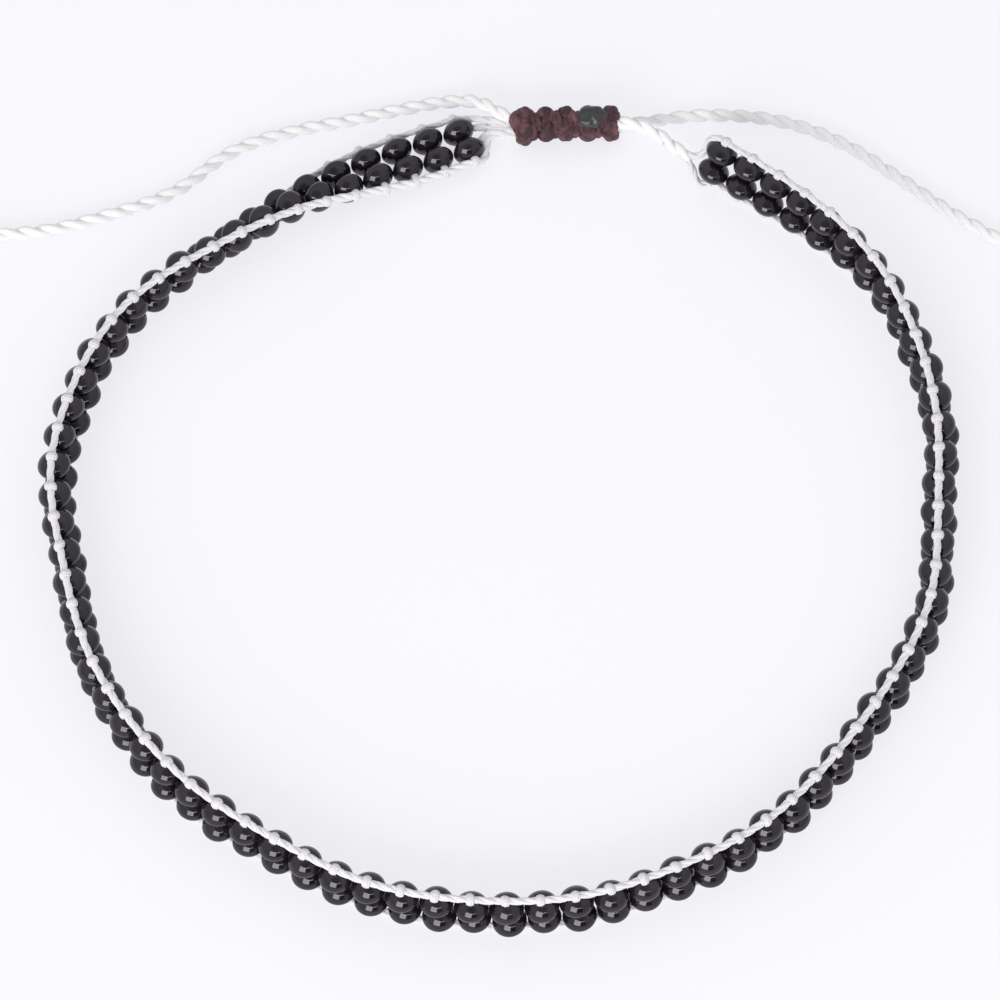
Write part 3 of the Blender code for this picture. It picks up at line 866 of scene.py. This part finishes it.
def add_dark_card(context, toward, wide, high):
    """A black card beside the window, which only the polished glass mirrors."""
    material, _, _ = new_material("black_card", {
        "Base Color": (0.002, 0.002, 0.002, 1.0), "Roughness": 0.9, "Specular IOR Level": 0.0})
    card = add_sheet(context, "dark_card", wide, high, material)
    aim(card, toward, CARD_DISTANCE)
    card.visible_camera = False
    card.visible_diffuse = False
    card.visible_shadow = False
    card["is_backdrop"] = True


class BraceletBeads(bpy.types.PropertyGroup):
    """The seed beads."""
    diameter: FloatProperty(
        name="Bead diameter", description="Across a bead, square to its hole", default=2.155 * MM,
        min=0.5 * MM, max=8 * MM, **LENGTH)
    length: FloatProperty(
        name="Bead length", description="Along a bead's hole", default=1.54 * MM, min=0.3 * MM, max=8 * MM,
        **LENGTH)
    hole: FloatProperty(
        name="Hole diameter", description="Across a bead's hole", default=0.60 * MM, min=0.1 * MM,
        max=4 * MM, **LENGTH)
    fullness: FloatProperty(
        name="Fullness", description="2 rounds a bead's outside evenly, and less tapers it to its ends",
        default=1.75, min=1.2, max=3.0)
    unevenness: FloatProperty(
        name="Unevenness", description="How much the beads differ in size", default=0.016, min=0.0, max=0.1)
    tilt: FloatProperty(
        name="Tilt", description="How far a bead may tip on its thread, in degrees", default=2.2, min=0.0,
        max=10.0)
    bead_sides: IntProperty(
        name="Sides", description="Sides of each bead round its hole", default=40, min=8, max=64)
    section_points: IntProperty(
        name="Section points", description="Points along the outside of a bead cut open", default=16, min=6,
        max=32)
    colour: FloatVectorProperty(
        name="Glass", description="Colour of the bead glass", default=(0.0115, 0.0085, 0.0120), **COLOUR)


class BraceletThreads(bpy.types.PropertyGroup):
    """The edge threads and the weft."""
    edge_width: FloatProperty(
        name="Edge thread width", description="Across the thread along each edge", default=0.50 * MM,
        min=0.1 * MM, max=2 * MM, **LENGTH)
    edge_flatness: FloatProperty(
        name="Edge thread flatness", description="Thickness of the edge thread as a share of its width",
        default=0.74, min=0.2, max=1.0)
    edge_rise: FloatProperty(
        name="Edge thread rise", description="From a bead's end to the middle of the edge thread",
        default=0.15 * MM, min=0.0, max=1 * MM, **LENGTH)
    edge_pitch: FloatProperty(
        name="Edge thread twist", description="Length of one turn of the edge thread's plies",
        default=2.7 * MM, min=0.5 * MM, max=20 * MM, **LENGTH)
    gather: FloatProperty(
        name="Gather",
        description="How much wider the edge threads are where they join the cords, as a share",
        default=0.5, min=0.0, max=3.0)
    gather_length: FloatProperty(
        name="Gather length", description="How far from its ends an edge thread is wider", default=3.4 * MM,
        min=0.1 * MM, max=20 * MM, **LENGTH)
    loop_radius: FloatProperty(
        name="Weft radius", description="Half the thickness of one weft strand", default=0.095 * MM,
        min=0.02 * MM, max=1 * MM, **LENGTH)
    loop_spread: FloatProperty(
        name="Weft spread", description="How far a loop's outer strands stand from its middle",
        default=0.165 * MM, min=0.0, max=1 * MM, **LENGTH)
    loop_strands: IntProperty(
        name="Weft strands", description="Strands side by side in each loop of the weft", default=4, min=1,
        max=6)
    colour: FloatVectorProperty(
        name="Thread", description="Colour of the threads", default=(0.77, 0.76, 0.775), **COLOUR)
    # The thread shade is painted shade in the hollows between the fibres.
    shade: FloatVectorProperty(
        name="Thread shade", description="Colour of the threads between their fibres",
        default=(0.645, 0.63, 0.645), **COLOUR)


class BraceletCords(bpy.types.PropertyGroup):
    """The two laid cords."""
    diameter: FloatProperty(
        name="Cord diameter", description="Across the laid cord", default=CORD_DIAMETER, min=0.3 * MM,
        max=4 * MM, **LENGTH)
    pitch: FloatProperty(
        name="Cord lay", description="Length of one turn of the cord's plies", default=2.75 * MM,
        min=0.5 * MM, max=20 * MM, **LENGTH)
    colour: FloatVectorProperty(
        name="Cord", description="Colour of the cords", default=(0.87, 0.855, 0.86), **COLOUR)
    # The cord shade is painted shade in the hollows between the fibres.
    shade: FloatVectorProperty(
        name="Cord shade", description="Colour of the cords between their fibres",
        default=(0.77, 0.755, 0.765), **COLOUR)


class BraceletKnot(bpy.types.PropertyGroup):
    """The sliding knot's yarn."""
    yarn_diameter: FloatProperty(
        name="Yarn diameter", description="Across the fat turns of the knot's yarn", default=1.12 * MM,
        min=0.2 * MM, max=3 * MM, **LENGTH)
    yarn_pitch: FloatProperty(
        name="Yarn twist", description="Length of one turn of the yarn's plies", default=1.9 * MM,
        min=0.5 * MM, max=20 * MM, **LENGTH)
    colour: FloatVectorProperty(
        name="Yarn", description="Colour of the knot's yarn", default=(0.049, 0.022, 0.027), **COLOUR)
    # This paler, pinker yarn colour is painted highlight, set in patches at random.
    painted_highlight: FloatVectorProperty(
        name="Rubbed yarn", description="Colour of the yarn where it is rubbed",
        default=(0.185, 0.078, 0.092), **COLOUR)
    melted: FloatVectorProperty(
        name="Melted ends", description="Colour of the sealed yarn ends", default=(0.025, 0.026, 0.0255),
        **COLOUR)


class BraceletStage(bpy.types.PropertyGroup):
    """The table and the light."""
    table: FloatVectorProperty(
        name="Table", description="Colour of the table", default=(0.245, 0.243, 0.252), **COLOUR)
    glow: FloatVectorProperty(
        name="Table glow", description="Light that the table gives off by itself",
        default=(0.686, 0.683, 0.720), **COLOUR)
    overhead: FloatProperty(
        name="Overhead", description="Brightness of the surround straight above", default=0.98, min=0.0,
        max=10.0)
    horizon: FloatProperty(
        name="Horizon", description="Brightness of the surround at the horizon", default=0.65, min=0.0,
        max=10.0)
    front: FloatProperty(
        name="Front", description="Brightness of the surround where the picture is taken from, as a share",
        default=0.35, min=0.0, max=1.0)
    window: FloatProperty(
        name="Window power", description="Power of the window light in watts", default=2.6, min=0.0,
        max=100.0)
    window_size: FloatVectorProperty(
        name="Window size", description="Width and height of the window light", default=(0.38, 0.32),
        size=2, min=0.01, max=3.0, subtype="XYZ", unit="LENGTH")


class BraceletOperator:
    """Shared by the bracelet's operators."""
    bl_options = {"REGISTER", "UNDO"}


class BRACELET_OT_camera(BraceletOperator, bpy.types.Operator):
    """Adds the camera at the picture's own angle"""
    bl_idname = "bracelet.add_camera"
    bl_label = "Camera"

    def execute(self, context):
        data = bpy.data.cameras.new("picture_camera")
        data.lens = VIEW_LENS
        data.sensor_width = 36.0
        data.clip_start = 0.01
        camera = bpy.data.objects.new("picture_camera", data)
        context.scene.collection.objects.link(camera)
        camera.location = VIEW_TARGET + VIEW_BACK * VIEW_DISTANCE
        camera.rotation_euler = (-VIEW_BACK).to_track_quat("-Z", "Y").to_euler()
        context.scene.camera = camera
        return {"FINISHED"}


class BRACELET_OT_cords(BraceletOperator, bpy.types.Operator):
    """Adds the two laid cords and the stopper knots at their ends"""
    bl_idname = "bracelet.add_cords"
    bl_label = "Cords"

    def execute(self, context):
        settings = context.scene.bracelet_cords
        material = cotton("white_laid_cord", tuple(settings.colour), tuple(settings.shade), 1.6)
        for name, rows, height, tail in (
                ("left_end", LEFT_END_CORD_ROUTE, LOWER_CORD_HEIGHT, "right_tail"),
                ("right_end", RIGHT_END_CORD_ROUTE, UPPER_CORD_HEIGHT, "left_tail")):
            stopper = build_stopper(
                f"{tail}_overhand_knot", f"{tail}_stopper", rows, height, settings, material)
            build_cord(f"{name}_laid_cord", f"{name}_cord", rows, height, settings, material)
        return {"FINISHED"}


class BRACELET_OT_beads(BraceletOperator, bpy.types.Operator):
    """Adds the two columns of glass seed beads"""
    bl_idname = "bracelet.add_beads"
    bl_label = "Beads"

    def execute(self, context):
        settings = context.scene.bracelet_beads
        chance = np.random.default_rng(SEED)
        material = black_glass(tuple(settings.colour))
        for name, side in (("upper_beads", 1), ("lower_beads", -1)):
            piece = build_beads(name, side, settings, material, chance)
            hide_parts("beaded_band")
        return {"FINISHED"}


class BRACELET_OT_threads(BraceletOperator, bpy.types.Operator):
    """Adds the edge threads and the weft's loops over them"""
    bl_idname = "bracelet.add_threads"
    bl_label = "Threads"

    def execute(self, context):
        settings = context.scene.bracelet_threads
        chance = np.random.default_rng(SEED + 1)
        material = cotton("white_edge_thread", tuple(settings.colour), tuple(settings.shade), 2.2)
        for name, side in (("upper", 1), ("lower", -1)):
            build_edge_thread(f"{name}_edge_thread", side, settings, material)
            build_loops(f"{name}_weft_loops", side, settings, material, chance)
        build_gathers("gathered_weft", settings, material)
        return {"FINISHED"}


class BRACELET_OT_knot(BraceletOperator, bpy.types.Operator):
    """Adds the sliding knot's yarn and its melted ends"""
    bl_idname = "bracelet.add_knot"
    bl_label = "Sliding knot"

    def execute(self, context):
        settings = context.scene.bracelet_knot
        chance = np.random.default_rng(SEED + 2)
        yarn = maroon_yarn(tuple(settings.colour), tuple(settings.painted_highlight))
        piece = build_knot_yarn("knot_yarn_turns", settings, yarn, chance)
        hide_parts("sliding_knot")
        build_melted_end("melted_yarn_end", melted_yarn(tuple(settings.melted)))
        return {"FINISHED"}


class BRACELET_OT_stage(BraceletOperator, bpy.types.Operator):
    """Adds the pale table, the white surround and the window light"""
    bl_idname = "bracelet.add_stage"
    bl_label = "Table and light"

    def execute(self, context):
        settings = context.scene.bracelet_stage
        material = table_top(tuple(settings.table), tuple(settings.glow))
        table = add_sheet(context, "table", 2 * TABLE_HALF, 2 * TABLE_HALF, material)
        table.location.z = -TABLE_GAP
        table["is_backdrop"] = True

        context.scene.world = pale_surround(settings.overhead, settings.horizon, settings.front)
        wide, high = settings.window_size
        add_light(context, "window_light", WINDOW_TOWARD, wide, high, settings.window)
        add_light(context, "window_transom", TRANSOM_TOWARD, wide * TRANSOM_WIDE, high * TRANSOM_HIGH,
                  settings.window * TRANSOM_POWER)
        add_dark_card(context, CARD_TOWARD, wide, high * CARD_HIGH)
        context.scene.view_settings.view_transform = "Standard"
        return {"FINISHED"}


class BRACELET_PT_panel(bpy.types.Panel):
    """Lists the bracelet's operators and settings"""
    bl_idname = "BRACELET_PT_panel"
    bl_label = "Woven Bracelet"
    bl_space_type = "VIEW_3D"
    bl_region_type = "UI"
    bl_category = "Bracelet"

    def draw(self, context):
        for operator in OPERATORS:
            self.layout.operator(operator.bl_idname)
        for name, group in SETTINGS:
            box = self.layout.box()
            for key in group.__annotations__:
                box.prop(getattr(context.scene, name), key)


OPERATORS = (
    BRACELET_OT_camera, BRACELET_OT_cords, BRACELET_OT_beads, BRACELET_OT_threads, BRACELET_OT_knot,
    BRACELET_OT_stage,
)
SETTINGS = (
    ("bracelet_beads", BraceletBeads), ("bracelet_threads", BraceletThreads),
    ("bracelet_cords", BraceletCords), ("bracelet_knot", BraceletKnot), ("bracelet_stage", BraceletStage),
)


def register():
    """Registers the settings, the operators and the panel."""
    for name, group in SETTINGS:
        bpy.utils.register_class(group)
        setattr(bpy.types.Scene, name, PointerProperty(type=group))
    for operator in (*OPERATORS, BRACELET_PT_panel):
        bpy.utils.register_class(operator)


def unregister():
    """Removes what register added."""
    for operator in reversed((*OPERATORS, BRACELET_PT_panel)):
        bpy.utils.unregister_class(operator)
    for name, group in reversed(SETTINGS):
        delattr(bpy.types.Scene, name)
        bpy.utils.unregister_class(group)


def corners():
    """The shown object's lowest and highest corner as plain lists."""
    return [list(corner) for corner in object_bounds()]


def main():
    """Builds everything in order."""
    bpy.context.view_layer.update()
    register()
    bpy.ops.bracelet.add_camera()
    bpy.ops.bracelet.add_cords()
    bpy.ops.bracelet.add_beads()
    bpy.ops.bracelet.add_threads()
    bpy.ops.bracelet.add_knot()
    bpy.ops.bracelet.add_stage()


if __name__ == "__main__":
    main()
